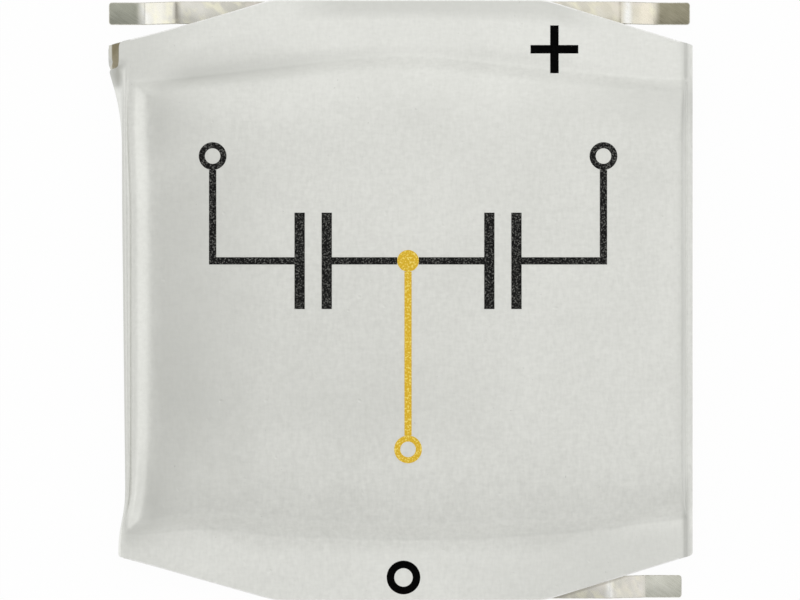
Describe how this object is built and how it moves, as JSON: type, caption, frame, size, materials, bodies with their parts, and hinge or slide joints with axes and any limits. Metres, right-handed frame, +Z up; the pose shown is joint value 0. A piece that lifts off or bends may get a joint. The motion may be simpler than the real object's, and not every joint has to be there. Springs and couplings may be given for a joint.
{
  "type": "pouch supercapacitor",
  "caption": "Thin flat foil-pouch supercapacitor with tapered sealed ends, a folded side seam and stepped solder feet for plus, minus and balance.",
  "frame": {"origin": "middle of the overall outline, on the base plane shared by the pouch's underside and the solder feet", "axes": "+Z up through the thickness, +Y towards the end with the plus and minus leads, +X towards the folded edge and the plus lead"},
  "size_m": [0.0196, 0.02, 0.0012],
  "materials": {
    "foil_laminate": "satin foil laminate with faint rolled streaks",
    "lead_strip": "brushed tin-plated strip",
    "amber_film": "thin amber film",
    "carbon_foil": "matt carbon coating on foil",
    "separator_paper": "thin porous web"
  },
  "bodies": {
    "root": {"laminate_pouch": "foil_laminate", "barrier_film": "amber_film", "positive_terminal": "lead_strip", "negative_terminal": "lead_strip", "balance_terminal": "lead_strip", "positive_pad_patch": "amber_film", "negative_pad_patch": "amber_film", "upper_separator": "separator_paper", "lower_separator": "separator_paper", "upper_positive_plate_1": "carbon_foil", "upper_positive_plate_2": "carbon_foil", "upper_negative_plate_1": "carbon_foil", "upper_negative_plate_2": "carbon_foil", "upper_negative_plate_3": "carbon_foil", "lower_negative_plate_1": "carbon_foil", "lower_negative_plate_2": "carbon_foil", "lower_positive_plate_1": "carbon_foil", "lower_positive_plate_2": "carbon_foil", "lower_positive_plate_3": "carbon_foil"}
  },
  "joints": []
}
